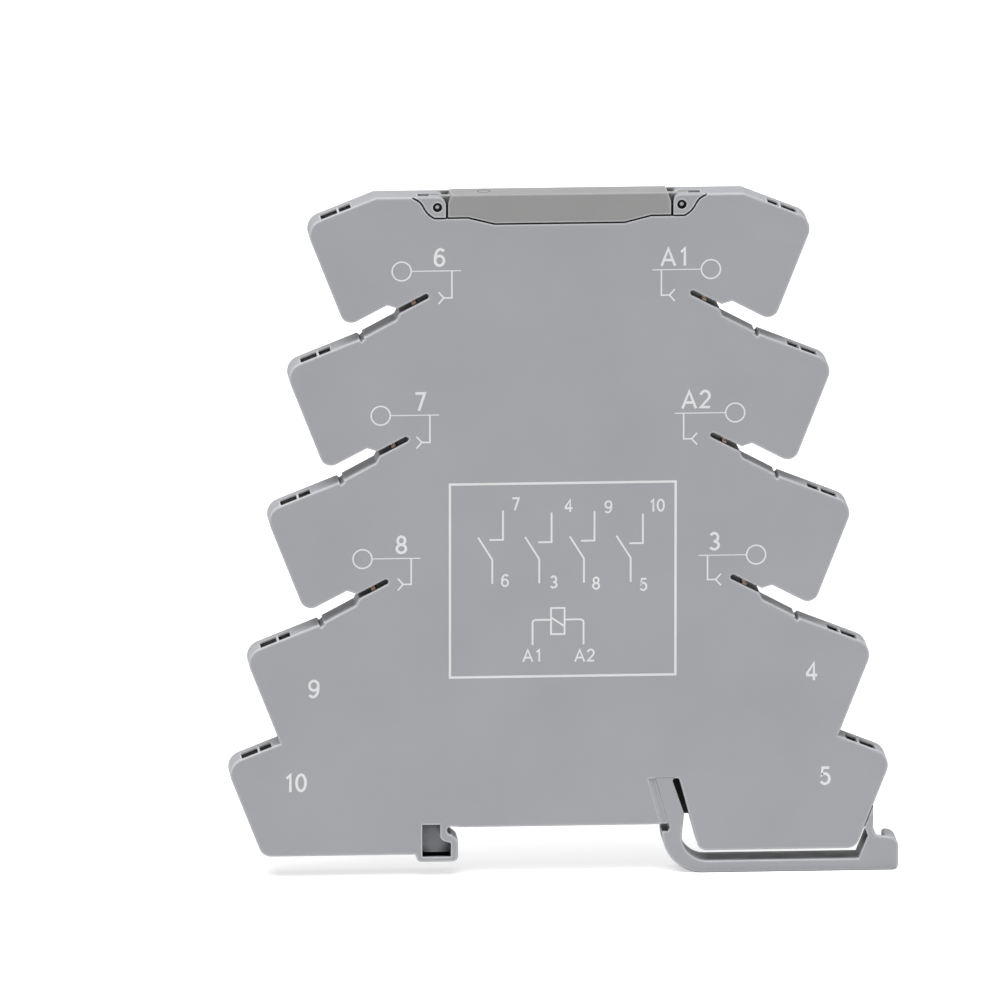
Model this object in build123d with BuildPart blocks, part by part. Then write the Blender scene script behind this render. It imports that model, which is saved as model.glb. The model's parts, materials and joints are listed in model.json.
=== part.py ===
from build123d import *
import math
import os

os.makedirs("parts", exist_ok=True)

# Slim relay module for a 35 mm rail. X runs along the module's width, Y through
# its thickness with the printed face towards -Y, and Z upwards. The origin is
# the middle of the seat that rests on the rail.

# Rail and overall sizes
rail_width = 35.0
rail_flange_thickness = 1.0
rail_clearance = 0.1
rail_offset = -0.15
flange_clearance = 0.15
module_thickness = 6.2
shoulder_x = 28.9
shoulder_rise = 4.4
body_bottom_z = -4.3

# Shell walls
outer_wall = 0.9
back_wall = 0.55
cover_thickness = 0.55
edge_break = 0.12

# Stepped arms. Arm 1 is the top one on each side.
arm_tilt = 21.5
first_tip_x = 40.05
last_tip_z = 10.45
arm_pitch_x = 3.2
arm_gap_z = 6.66
last_pitch_x = 3.0
last_pitch_z = 17.8
arm_count = 5
slotted_arms = 3
arm_side_length = 17.4
arm_tip_radius = 2.5
arm_heel_radius = 1.8
bottom_corner_radius = 2.0

# Jumper channel under each slotted arm
channel_tilt = 27.5
underside_length = 7.4
step_run = 1.2
step_drop = 1.2
slot_length = 5.3
slot_width = 0.85
pocket_run = 1.05
pocket_drop = 0.75
face_length = 13.05
notch_width = 0.75

# Wire entry and release slot in each arm's face
entry_start = 2.8
entry_length = 2.75
release_start = 5.9
release_length = 1.95
entry_back_y = 1.1
entry_cut = 1.35
entry_lip = 0.25
entry_recess = 0.9
terminal_y = -0.4

# Current bar and clamp spring
bar_thickness = 0.8
bar_width = 2.8
bar_inset = 2.5
bar_top = 2.2
bar_floor = 2.8
bar_reach = 15.2
bar_bend = 0.6
tab_length = 3.36
fork_thickness = 0.7
fork_gap = 0.12
fork_tip = 2.6
contact_proud = 0.2
window_clearance = 0.15
spring_thickness = 0.4
spring_width = 2.4
spring_tip_depth = 8.6
spring_shoulder_depth = 3.6
spring_back = 8.85
spring_bend = 0.9
chamber_rib_start = 9.25
chamber_rib_thickness = 0.7
chamber_rib_gap = 3.8

# Fixed foot on the left
foot_width = 6.75
foot_bottom_z = -5.5
foot_taper = 0.4
foot_radius = 0.9
lip_length = 1.1
lip_slope = 0.95
flange_notch_radius = 0.65
seat_relief = 0.1
foot_pocket_wall = 1.1
foot_pocket_top_z = 0.5
foot_pocket_neck = 1.7
foot_pocket_step_z = -1.2
foot_pocket_step = 0.4
foot_pocket_floor_wall = 0.75
foot_pocket_depth = 2.6
foot_trench_width = 0.3
foot_trench_depth = 1.6
foot_trench_lip = 0.35
foot_trench_drop = 0.4
foot_pocket_lead = (-1, 0.3)

# Latch on the right
bay_top_z = 7.4
bay_lean = 2.05
groove_width = 1.05
leaf_end_z = 0.4
leaf_root_width = 2.69
leaf_neck_width = 2.5
leaf_gusset = 0.35
leaf_neck_z = 1.65
leaf_waist = 0.8
relief_width = 1.05
relief_lean = 3.2
relief_corner_radius = 1.5
relief_end_radius = 0.45
groove_depth = 0.25
tooth_setback = 0.1
latch_bottom_z = -7.9
latch_bar_thickness = 1.9
latch_tab_top_z = -2.3
latch_tab_drop = 0.45
latch_neck_top_z = 2.5
latch_neck_width = 2.0
latch_tab_length = 3.95
latch_gap = 0.08
latch_heel_radius = 6.5
inner_heel_radius = 4.0
latch_neck_radius = 1.1
latch_corner_radius = 1.1
latch_tab_radius = 1.5
finger_gap = 1.15
blade_pocket_start = 0.4
blade_pocket_length = 1.35
blade_pocket_floor_z = -4.2
blade_lip = 1.0
blade_pocket_round = 0.5

# Ears, pins and lid
pin_inset = 1.3
pin_drop = 1.6
pin_diameter = 1.0
pin_recess = 0.9
pin_stand = 0.45
pin_round = 0.35
pin_recess_diameter = 1.5
pin_clearance = 0.05
ear_side_x = 17.9
ear_top_width = 5.0
ear_waist = 3.35
ear_waist_drop = 1.5
ear_foot_width = 1.7
ear_height = 3.2
ear_round = 1.25
ear_waist_run = 0.45
ear_thickness = 1.6
ear_groove = 0.3
ear_block_width = 5.2
ear_block_height = 4.4
tongue_room_width = 4.3
tongue_room_depth = 3.6
tongue_room_lip = 0.25
tongue_room_recess = 0.8
tongue_gap = 0.1
tongue_thickness = 1.4
tongue_radius = 1.35
tongue_heel = 1.2
tongue_rise = 1.5
snap_clearance = 0.12
lid_end_gap = 0.4
lid_bevel_x = 0.5
lid_bevel_z = 1.4
lid_rise = 0.3
lid_end_height = 3.5
lid_middle_height = 4.55
lid_end_length = 3.1
lid_slope_length = 4.2
lid_recess = 0.2
lid_back_gap = 0.15
lid_wall = 0.8
lid_gap = 0.28

# Indicator
lamp_x = -11.75
lamp_radius = 1.0
lamp_height = 4.0
guide_radius = 1.05
guide_stem_radius = 0.7
guide_head = 0.9
guide_length = 5.2

# Circuit board
board_thickness = 1.0
board_front_y = 1.0
board_margin = 4.5
board_top_drop = 8.7
board_bottom_z = 1.6
board_step_drop = 15.0
board_bay_clearance = 0.6
post_radius = 1.3
peg_radius = 0.6
peg_clearance = 0.05
diode_length = 3.0
diode_height = 1.6
diode_thickness = 1.0
diode_drop = 2.1

# Relays, stacked in one column
relay_count = 4
relay_length = 28.0
relay_height = 15.0
relay_thickness = 4.9
relay_wall = 0.35
relay_gap = 5.0
relay_base_z = 12.8
relay_window_gap = 0.2
base_height = 1.5
base_clearance = 0.05
relay_pin_size = 0.5
relay_pin_length = 3.2
coil_gap = 0.1
coil_flange = 0.7
coil_flange_height = 5.8
winding_height = 4.2
winding_width = 3.9
winding_round = 1.05
yoke_inset = 1.4
yoke_leg = 1.3
contact_side_length = 11.6
yoke_width = 3.2
core_height = 1.2
core_z = 4.5
armature_z = 8.4
armature_thickness = 0.7
armature_overhang = 0.2
armature_round = 0.17
armature_swing = 2.5
pivot_radius = 0.25
pivot_clearance = 0.02
stop_gap = 0.02
leaf_spring_root = 6.3
leaf_spring_overhang = 0.9
leaf_spring_thickness = 0.15
leaf_spring_width = 2.0
contact_radius = 0.7
contact_height = 0.5
contact_inset = 2.7
fixed_post_inset = 1.2
fixed_strip_thickness = 0.4

# Places worked out from the sizes above
front_y = -module_thickness / 2
back_y = module_thickness / 2
inner_front_y = front_y + cover_thickness
inner_back_y = back_y - back_wall
arm_sine = math.sin(math.radians(arm_tilt))
arm_cosine = math.cos(math.radians(arm_tilt))
arm_slope = math.tan(math.radians(arm_tilt))
channel_sine = math.sin(math.radians(channel_tilt))
channel_cosine = math.cos(math.radians(channel_tilt))
arm_pitch_z = arm_side_length * arm_cosine + arm_gap_z
first_tip_z = last_tip_z + last_pitch_z + (arm_count - 2) * arm_pitch_z
top_z = first_tip_z + shoulder_rise
bar_depth = arm_side_length - bar_floor
left_names = ["6", "7", "8", "9", "10"]
right_names = ["a1", "a2", "3", "4", "5"]

# Rail, foot and latch bay
rail_end_x = rail_width / 2 + rail_clearance
flange_notch_x = rail_end_x - rail_offset - flange_notch_radius
foot_inner_x = flange_notch_x - lip_length
foot_outer_x = foot_inner_x + foot_width
foot_pocket_neck_x = flange_notch_x + foot_pocket_neck
lip_top_z = -rail_flange_thickness - flange_clearance
lip_end_z = lip_top_z - lip_slope
latch_notch_x = rail_end_x + rail_offset - flange_notch_radius
seat_end_x = latch_notch_x - flange_notch_radius
latch_tooth_x = seat_end_x + tooth_setback
bay_corner_x = seat_end_x - bay_lean
leaf_root_x = bay_corner_x + groove_width + leaf_root_width
relief_top_x = leaf_root_x + relief_width
relief_bottom_x = relief_top_x + relief_lean
leaf_neck_x = seat_end_x + groove_width + leaf_neck_width
latch_bar_top_z = latch_bottom_z + latch_bar_thickness
waist_slope = leaf_waist / (leaf_neck_z - latch_bar_top_z)
leaf_end_x = leaf_neck_x - waist_slope * (leaf_neck_z - leaf_end_z)

# Ears, lid and light guide
pin_x = ear_side_x + pin_inset
pin_z = top_z - pin_drop
ear_top_x = ear_side_x + ear_top_width
ear_foot_x = ear_side_x + ear_foot_width
ear_bottom_z = top_z - ear_height
tongue_floor_z = top_z - tongue_room_depth
lid_end_x = ear_side_x - lid_end_gap
lid_top_x = lid_end_x - lid_bevel_x
lid_top_z = top_z + lid_rise
lid_end_z = lid_top_z - lid_end_height
lid_middle_z = lid_top_z - lid_middle_height
lid_slope_outer_x = lid_end_x - lid_end_length
lid_slope_inner_x = lid_slope_outer_x - lid_slope_length
guide_bottom_z = lid_top_z - guide_length

# Circuit board and relays
board_top_half_width = relay_length / 2 + board_margin
board_top_z = top_z - board_top_drop
relay_pitch = relay_height + relay_gap


def face_plane(y):
    """Plane parallel to the printed face at this depth, extruding to the front."""
    return Plane.XZ.offset(-y)


def tip(arm):
    """Sharp corner of an arm on the right, before rounding."""
    steps = min(arm, arm_count - 1) - 1
    x = first_tip_x + arm_pitch_x * steps
    z = first_tip_z - arm_pitch_z * steps
    if arm == arm_count:
        x += last_pitch_x
        z -= last_pitch_z
    return x, z


def along_arm(arm, inward, down):
    """Point given along the arm's face and down its side, on the right."""
    x, z = tip(arm)
    return (
        x - arm_cosine * inward - arm_sine * down,
        z + arm_sine * inward - arm_cosine * down,
    )


def along_channel(arm, inward, down):
    """Point given along the jumper channel and across it, from the slot's mouth."""
    heel_x, heel_z = along_arm(arm, 0, arm_side_length)
    run = underside_length + step_run + inward
    drop = step_drop + down
    return (
        heel_x - channel_cosine * run - channel_sine * drop,
        heel_z + channel_sine * run - channel_cosine * drop,
    )


def arm_plane(arm, side, y=terminal_y):
    """Plane of an arm: its X runs inward along the face and its Y down the side."""
    x, z = tip(arm)
    return Plane(
        origin=(side * x, y, z),
        x_dir=(-side * arm_cosine, 0, arm_sine),
        z_dir=(0, -side, 0),
    )


def channel_plane(arm, side, y=terminal_y):
    """Plane of a jumper channel, from the upper lip of the slot's mouth."""
    x, z = along_channel(arm, 0, 0)
    return Plane(
        origin=(side * x, y, z),
        x_dir=(-side * channel_cosine, 0, channel_sine),
        z_dir=(0, -side, 0),
    )


def side_x(z):
    """X of the last arm's outer side at this height."""
    x, tip_height = tip(arm_count)
    return x - arm_slope * (tip_height - z)


def stepped_side():
    """Corners of the right side, from the shoulder down to the bottom corner."""
    points = [(shoulder_x, top_z)]
    for arm in range(1, arm_count):
        points.append(tip(arm))
        if arm <= slotted_arms:
            points.append(along_arm(arm, 0, arm_side_length))
            points.append(along_channel(arm, -step_run, -step_drop))
            points.append(along_channel(arm, 0, 0))
            points.append(along_channel(arm, 0, slot_width))
            points.append(along_channel(arm, -pocket_run, slot_width + pocket_drop))
            points.append(along_arm(arm + 1, face_length, 0))
    upper_x, upper_z = tip(arm_count - 1)
    lower_x, lower_z = tip(arm_count)
    drop = (upper_x - lower_x) * arm_sine + (upper_z - lower_z) * arm_cosine
    points.append(along_arm(arm_count - 1, 0, drop))
    points.append((lower_x, lower_z))
    points.append((side_x(body_bottom_z), body_bottom_z))
    return points


def bay_left(with_groove):
    """Left edge of the latch bay: the groove's far edge, or the leaf's own edge."""
    shift = 0 if with_groove else groove_width
    return [(seat_end_x + shift, 0), (bay_corner_x + shift, bay_top_z)]


def leaf_left(z):
    """X of the leaf's left edge at this height."""
    (low_x, low_z), (high_x, high_z) = bay_left(False)
    return low_x + (high_x - low_x) * (z - low_z) / (high_z - low_z)


def corners_near(sketch, points):
    """Corners of a sketch that lie nearest to these points."""
    return [sketch.vertices().sort_by_distance(Vector(x, z, 0))[0] for x, z in points]


def both_sides(points):
    return points + [(-x, z) for x, z in points]


def housing_outline(with_groove):
    """Outer contour shared by the rear shell and the front cover."""
    right = stepped_side()
    left = [(-x, z) for x, z in reversed(right)]
    relief = [(relief_bottom_x, body_bottom_z), (relief_top_x, bay_top_z)]
    foot = [
        (-flange_notch_x, 0),
        (-flange_notch_x, lip_top_z),
        (-foot_inner_x, lip_end_z),
        (-foot_inner_x, foot_bottom_z),
        (-foot_outer_x + foot_taper, foot_bottom_z),
        (-foot_outer_x, body_bottom_z),
    ]
    bay = list(reversed(bay_left(with_groove)))
    tips = [tip(arm) for arm in range(1, arm_count + 1)]
    heels = [along_arm(arm, 0, arm_side_length) for arm in range(1, slotted_arms + 1)]
    bottom_corner = (side_x(body_bottom_z), body_bottom_z)
    with BuildSketch() as outline:
        with BuildLine():
            Polyline(*right, *relief, *bay, *foot, *left, close=True)
        make_face()
        fillet(corners_near(outline, both_sides(tips)), arm_tip_radius)
        fillet(corners_near(outline, both_sides(heels)), arm_heel_radius)
        fillet(corners_near(outline, both_sides([bottom_corner])), bottom_corner_radius)
        fillet(corners_near(outline, [relief[0]]), relief_corner_radius)
        fillet(corners_near(outline, [relief[1]]), relief_end_radius)
        fillet(corners_near(outline, [foot[3], foot[4]]), foot_radius)
        with Locations((-flange_notch_x, lip_top_z + flange_notch_radius)):
            Circle(flange_notch_radius, mode=Mode.SUBTRACT)
        # The seat ends where the foot and the latch reach under the rail.
        with Locations((-foot_inner_x - lip_length / 2, 0), (seat_end_x + lip_length / 2, 0)):
            Rectangle(lip_length, 2 * seat_relief, mode=Mode.SUBTRACT)
        for side in (1, -1):
            for arm in range(1, slotted_arms + 1):
                add(slot_shape(arm, side, 0), mode=Mode.SUBTRACT)
                notch_x, notch_z = along_arm(arm + 1, face_length, 0)
                with Locations(Location((side * notch_x, notch_z, 0), 45)):
                    Rectangle(notch_width, notch_width, mode=Mode.SUBTRACT)
    return outline.sketch


def inset(points, wall):
    """Corners of a clockwise outline, moved inward by a wall's thickness."""
    moved = []
    for index, (x, z) in enumerate(points):
        before_x, before_z = points[index - 1]
        after_x, after_z = points[(index + 1) % len(points)]
        first = math.dist((before_x, before_z), (x, z))
        second = math.dist((x, z), (after_x, after_z))
        first_normal = ((z - before_z) / first, (before_x - x) / first)
        second_normal = ((after_z - z) / second, (x - after_x) / second)
        dot = first_normal[0] * second_normal[0] + first_normal[1] * second_normal[1]
        share = wall / (1 + dot)
        moved.append(
            (
                x + share * (first_normal[0] + second_normal[0]),
                z + share * (first_normal[1] + second_normal[1]),
            )
        )
    return moved


def slot_shape(arm, side, margin):
    """Jumper slot with a round end, grown by a margin on all sides."""
    radius = slot_width / 2 + margin
    outer_end = -slot_width
    inner_end = slot_length - slot_width / 2
    middle = along_channel(arm, (outer_end + inner_end) / 2, slot_width / 2)
    with BuildSketch() as shape:
        with Locations(Location((side * middle[0], middle[1], 0), side * -channel_tilt)):
            SlotCenterToCenter(inner_end - outer_end, 2 * radius)
    return shape.sketch


def plain_side():
    """Right side without the small steps, for the hollow inside."""
    points = [(shoulder_x, top_z)]
    for arm in range(1, arm_count):
        points.append(tip(arm))
        if arm <= slotted_arms:
            points.append(along_arm(arm, 0, arm_side_length))
            points.append(along_channel(arm, -step_run, -step_drop))
            points.append(along_channel(arm, -pocket_run, slot_width + pocket_drop))
            points.append(along_arm(arm + 1, face_length, 0))
    points.extend(stepped_side()[-3:])
    return points


def hollow_shape():
    """Space inside the outer walls."""
    right = plain_side()
    left = [(-x, z) for x, z in reversed(right)]
    relief = [(relief_bottom_x, body_bottom_z), (relief_top_x, bay_top_z)]
    bay = list(reversed(bay_left(False)))
    foot = [
        (-foot_inner_x, 0),
        (-foot_inner_x, foot_pocket_top_z),
        (-foot_outer_x, foot_pocket_top_z),
        (-foot_outer_x, body_bottom_z),
    ]
    corners = inset(right + relief + bay + foot + left, outer_wall)
    tips = [inset_tip(arm) for arm in range(1, arm_count + 1)]
    with BuildSketch() as hollow:
        with BuildLine():
            Polyline(*corners, close=True)
        make_face()
        fillet(corners_near(hollow, both_sides(tips)), arm_tip_radius - outer_wall)
        for arm in range(1, slotted_arms + 1):
            for side in (1, -1):
                add(slot_shape(arm, side, outer_wall), mode=Mode.SUBTRACT)
    return hollow.sketch


def inset_tip(arm):
    return along_arm(arm, outer_wall, outer_wall)


def ear_outline():
    """Front ear of the left side."""
    with BuildSketch() as ear:
        with BuildLine():
            waist = (-ear_side_x - ear_waist, top_z - ear_waist_drop)
            TangentArc(waist, (-ear_foot_x, ear_bottom_z), tangent=(ear_waist_run, -1))
            TangentArc(waist, (-ear_top_x, top_z), tangent=(-ear_waist_run, 1))
            Polyline(
                (-ear_foot_x, ear_bottom_z),
                (-ear_side_x, ear_bottom_z),
                (-ear_side_x, top_z),
                (-ear_top_x, top_z),
            )
        make_face()
        fillet(corners_near(ear, [(-ear_side_x, top_z)]), ear_round)
    return ear.sketch


def grown(sketch, margin):
    """The same outline, larger by a margin on all sides."""
    return offset(sketch, amount=margin, kind=Kind.ARC, mode=Mode.PRIVATE)


def mirrored(sketch):
    """The same outline on the module's other side."""
    return mirror(sketch, about=Plane.YZ, mode=Mode.PRIVATE)


def lid_outline():
    """Lid seen from the front."""
    right = [
        (lid_top_x, lid_top_z),
        (lid_end_x, lid_top_z - lid_bevel_z),
        (lid_end_x, lid_end_z),
        (lid_slope_outer_x, lid_end_z),
        (lid_slope_inner_x, lid_middle_z),
    ]
    left = [(-x, z) for x, z in reversed(right)]
    with BuildSketch() as lid:
        with BuildLine():
            Polyline(*right, *left, close=True)
        make_face()
    return lid.sketch


def foot_pocket_shape():
    """Recess in the fixed foot, behind its thin rim."""
    outer = -foot_outer_x + foot_pocket_wall
    inner = -foot_inner_x - foot_pocket_wall
    with BuildSketch() as pocket:
        with BuildLine():
            edge = Polyline(
                (-foot_pocket_neck_x, foot_pocket_step_z),
                (-foot_pocket_neck_x, foot_pocket_top_z),
                (outer, foot_pocket_top_z),
                (outer, foot_bottom_z + foot_pocket_floor_wall),
                (inner, foot_bottom_z + foot_pocket_floor_wall),
                (inner, lip_end_z - foot_pocket_step),
            )
            Spline(
                edge @ 1,
                edge @ 0,
                tangents=(foot_pocket_lead, (0, 1)),
            )
        make_face()
    return pocket.sketch


def foot_trench_shape(drop):
    """Trench along the outer, upper and lower edges of the foot's recess."""
    outer = -foot_outer_x + foot_pocket_wall
    inner = -foot_inner_x - foot_pocket_wall
    low_z = foot_bottom_z + foot_pocket_floor_wall - drop
    with BuildSketch() as trench:
        with Locations((outer, low_z)):
            Rectangle(inner - outer, foot_trench_width + drop, align=(Align.MIN, Align.MIN))
        if not drop:
            with Locations((outer, low_z)):
                Rectangle(foot_trench_width, foot_pocket_top_z - low_z, align=(Align.MIN, Align.MIN))
            with Locations((outer, foot_pocket_top_z)):
                Rectangle(
                    -foot_pocket_neck_x - outer,
                    foot_trench_width,
                    align=(Align.MIN, Align.MAX),
                )
    return trench.sketch


def bay_shape():
    """Latch bay from the leaf's left edge to the relief slot's right edge."""
    low_z = leaf_end_z + latch_gap
    lean = relief_lean / (bay_top_z - body_bottom_z)
    with BuildSketch() as bay:
        with BuildLine():
            Polyline(
                (leaf_left(low_z), low_z),
                (leaf_left(bay_top_z), bay_top_z),
                (relief_top_x, bay_top_z),
                (relief_top_x + lean * (bay_top_z - low_z), low_z),
                close=True,
            )
        make_face()
    return bay.sketch


def thick_path(points, thickness, bend):
    """Section of a bent strip that follows these corners."""
    with BuildSketch() as section:
        with BuildLine():
            if len(points) > 2:
                FilletPolyline(*points, radius=bend)
            else:
                Line(*points)
        trace(line_width=thickness)
    return section.sketch


def flat_frame(point, side, tilt):
    """Place on the printed face: first axis inward along the tilt, second down."""
    x_dir = (-side * math.cos(math.radians(tilt)), math.sin(math.radians(tilt)), 0)
    return Plane(origin=(side * point[0], point[1], 0), x_dir=x_dir, z_dir=(0, 0, side))


def entry_shape(arm, side):
    """Wire entry and release slot of one arm."""
    with BuildSketch(flat_frame(tip(arm), side, arm_tilt), mode=Mode.PRIVATE) as entry:
        for start, length in ((entry_start, entry_length), (release_start, release_length)):
            with Locations((start + length / 2, 0)):
                Rectangle(length, 2 * entry_cut)
    return entry.sketch


def recess_shape(arm, side):
    """Undercut behind the wire entry and the release slot of one arm."""
    with BuildSketch(flat_frame(tip(arm), side, arm_tilt), mode=Mode.PRIVATE) as recess:
        for start, length in ((entry_start, entry_length), (release_start, release_length)):
            with Locations((start, entry_lip)):
                Rectangle(length, entry_cut - entry_lip, align=(Align.MIN, Align.MIN))
    return recess.sketch


def window_shape(arm, side):
    """Window through both walls of a jumper slot."""
    mouth = along_channel(arm, 0, 0)
    with BuildSketch(flat_frame(mouth, side, channel_tilt), mode=Mode.PRIVATE) as window:
        with Locations((fork_tip, slot_width / 2)):
            Rectangle(
                fork_thickness + 2 * window_clearance,
                slot_width + 2 * outer_wall + fork_gap,
            )
    return window.sketch


def rib_shape(arm, side):
    """Rib behind a clamp spring, rooted in the arm's upper wall."""
    with BuildSketch(flat_frame(tip(arm), side, arm_tilt), mode=Mode.PRIVATE) as rib:
        with Locations((chamber_rib_start, outer_wall / 2)):
            Rectangle(
                chamber_rib_thickness,
                arm_side_length - chamber_rib_gap - outer_wall / 2,
                align=(Align.MIN, Align.MIN),
            )
    return rib.sketch


def arm_features(shape, last_arm):
    """One feature drawn on every arm of both sides, down to the last arm given."""
    faces = []
    for side in (1, -1):
        for arm in range(1, last_arm + 1):
            faces.extend(shape(arm, side).faces())
    return faces


def seat_posts():
    """Places where the circuit board sits on the rear shell."""
    low_z = board_bottom_z + 2 * post_radius
    high_z = board_top_z - 2 * post_radius
    low_x = board_half_width(arm_count) - 2 * post_radius
    high_x = board_top_half_width - 2 * post_radius
    return [(-low_x, low_z), (low_x, low_z), (-high_x, high_z), (high_x, high_z)]


def board_half_width(arm):
    """Half width of the circuit board beside an arm."""
    return board_top_half_width + tip(arm)[0] - first_tip_x


# Rear shell
with BuildPart() as rear_shell:
    with BuildSketch(face_plane(back_y)):
        add(housing_outline(False))
    extrude(amount=back_y - inner_front_y)
    with BuildSketch(face_plane(inner_back_y)):
        add(hollow_shape())
    extrude(amount=inner_back_y - inner_front_y, mode=Mode.SUBTRACT)
    # The rear wall runs on behind the leaf and the relief slot.
    with BuildSketch(face_plane(back_y)):
        add(bay_shape())
    extrude(amount=back_wall)
    # Floor of the groove beside the leaf.
    with BuildSketch(face_plane(inner_front_y)):
        with BuildLine():
            Polyline(
                (bay_corner_x, bay_top_z),
                (leaf_left(bay_top_z), bay_top_z),
                (leaf_left(seat_relief), seat_relief),
                (leaf_left(seat_relief) - groove_width, seat_relief),
                close=True,
            )
        make_face()
    extrude(amount=cover_thickness - groove_depth)
    # Blocks that carry the ears on both sides of the lid's tongues.
    for side in (1, -1):
        with BuildSketch(face_plane(inner_back_y)):
            with Locations((side * (ear_side_x + ear_block_width / 2), top_z)):
                Rectangle(ear_block_width, ear_block_height, align=(Align.CENTER, Align.MAX))
        extrude(amount=inner_back_y - inner_front_y)
    # The opening under the lid, rounded at its ends so that the lid can swing.
    with BuildSketch(face_plane(inner_back_y)):
        with Locations((0, top_z)):
            Rectangle(2 * ear_side_x, 2 * outer_wall, align=(Align.CENTER, Align.CENTER))
    extrude(amount=inner_back_y - inner_front_y, mode=Mode.SUBTRACT)
    top_edges = rear_shell.edges().filter_by(Axis.Y).group_by(Axis.Z)[-1]
    fillet(top_edges.sort_by(lambda edge: abs(edge.center().X))[:2], ear_round)
    for side in (1, -1):
        with BuildSketch(face_plane(inner_front_y)):
            add(ear_outline() if side < 0 else mirrored(ear_outline()))
        extrude(amount=cover_thickness)
    # Room for the tongues, open at the top, and undercut behind a thin lip.
    for side in (1, -1):
        tongue_room_y = front_y + ear_thickness + tongue_thickness + 2 * tongue_gap
        with BuildSketch(face_plane(tongue_room_y)):
            with Locations((side * ear_side_x, tongue_floor_z)):
                Rectangle(
                    2 * tongue_room_width,
                    2 * tongue_room_depth,
                    align=(Align.CENTER, Align.MIN),
                )
        extrude(amount=tongue_thickness + 2 * tongue_gap, mode=Mode.SUBTRACT)
        with BuildSketch(face_plane(tongue_room_y + tongue_room_recess)):
            with Locations((side * ear_side_x, tongue_floor_z)):
                Rectangle(
                    2 * tongue_room_width,
                    tongue_room_depth - tongue_room_lip,
                    align=(Align.CENTER, Align.MIN),
                )
        extrude(amount=tongue_room_recess, mode=Mode.SUBTRACT)
        with Locations(Location((side * pin_x, front_y, pin_z), (90, 0, 0))):
            CounterBoreHole(
                radius=pin_diameter / 2,
                counter_bore_radius=pin_recess_diameter / 2,
                counter_bore_depth=pin_recess,
                depth=module_thickness - back_wall,
            )
    # The recess in the foot.
    with BuildSketch(face_plane(front_y + foot_pocket_depth)):
        add(foot_pocket_shape())
    extrude(amount=foot_pocket_depth, mode=Mode.SUBTRACT)
    with BuildSketch(face_plane(front_y + foot_pocket_depth + foot_trench_depth)):
        add(foot_trench_shape(0))
    extrude(amount=foot_trench_depth, mode=Mode.SUBTRACT)
    with BuildSketch(face_plane(front_y + foot_pocket_depth + foot_trench_depth)):
        add(foot_trench_shape(foot_trench_drop))
    extrude(amount=foot_pocket_depth + foot_trench_depth - foot_trench_lip, mode=Mode.SUBTRACT)
    # Wire entries and release slots.
    with BuildSketch(face_plane(entry_back_y)):
        add(arm_features(entry_shape, arm_count))
    extrude(amount=entry_back_y - inner_front_y, mode=Mode.SUBTRACT)
    # The wall behind each of them is undercut, down to a thin lip.
    with BuildSketch(face_plane(entry_back_y + entry_recess)):
        add(arm_features(recess_shape, arm_count))
    extrude(amount=entry_recess, mode=Mode.SUBTRACT)
    # Windows for the jumper contacts.
    with BuildSketch(face_plane(terminal_y)):
        add(arm_features(window_shape, slotted_arms))
    extrude(amount=bar_width / 2 + window_clearance, both=True, mode=Mode.SUBTRACT)
    # Ribs behind the clamp springs.
    with BuildSketch(face_plane(inner_back_y)):
        add(arm_features(rib_shape, arm_count))
    extrude(amount=inner_back_y - inner_front_y)
    # Seats for the circuit board.
    with BuildSketch(face_plane(inner_back_y)):
        with Locations(*seat_posts()):
            Circle(post_radius)
    extrude(amount=inner_back_y - board_front_y - board_thickness)
    with BuildSketch(face_plane(inner_back_y)):
        with Locations(*seat_posts()):
            Circle(peg_radius)
    extrude(amount=inner_back_y - board_front_y)

# Front cover
with BuildPart() as front_cover:
    with BuildSketch(face_plane(inner_front_y)):
        add(housing_outline(True))
    extrude(amount=cover_thickness)
    face_rim = front_cover.faces().sort_by(Axis.Y)[0].outer_wire().edges()
    leaf_root = face_rim.filter_by(Axis.X).filter_by_position(Axis.Z, leaf_end_z, bay_top_z)
    chamfer([edge for edge in face_rim if edge not in leaf_root], edge_break)
    with BuildSketch(face_plane(inner_front_y)):
        add(grown(lid_outline(), lid_gap))
        add(grown(ear_outline(), ear_groove))
        add(mirrored(grown(ear_outline(), ear_groove)))
        with Locations((0, top_z)):
            Rectangle(2 * (ear_side_x + ear_round), 2 * (top_z - ear_bottom_z))
        add(foot_pocket_shape())
    extrude(amount=cover_thickness, mode=Mode.SUBTRACT)


# Rail latch: tooth, arm, bar and screwdriver tab in one moulding
latch_neck_x = side_x(latch_tab_top_z) + latch_neck_width
latch_end_x = latch_neck_x + latch_tab_length


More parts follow.
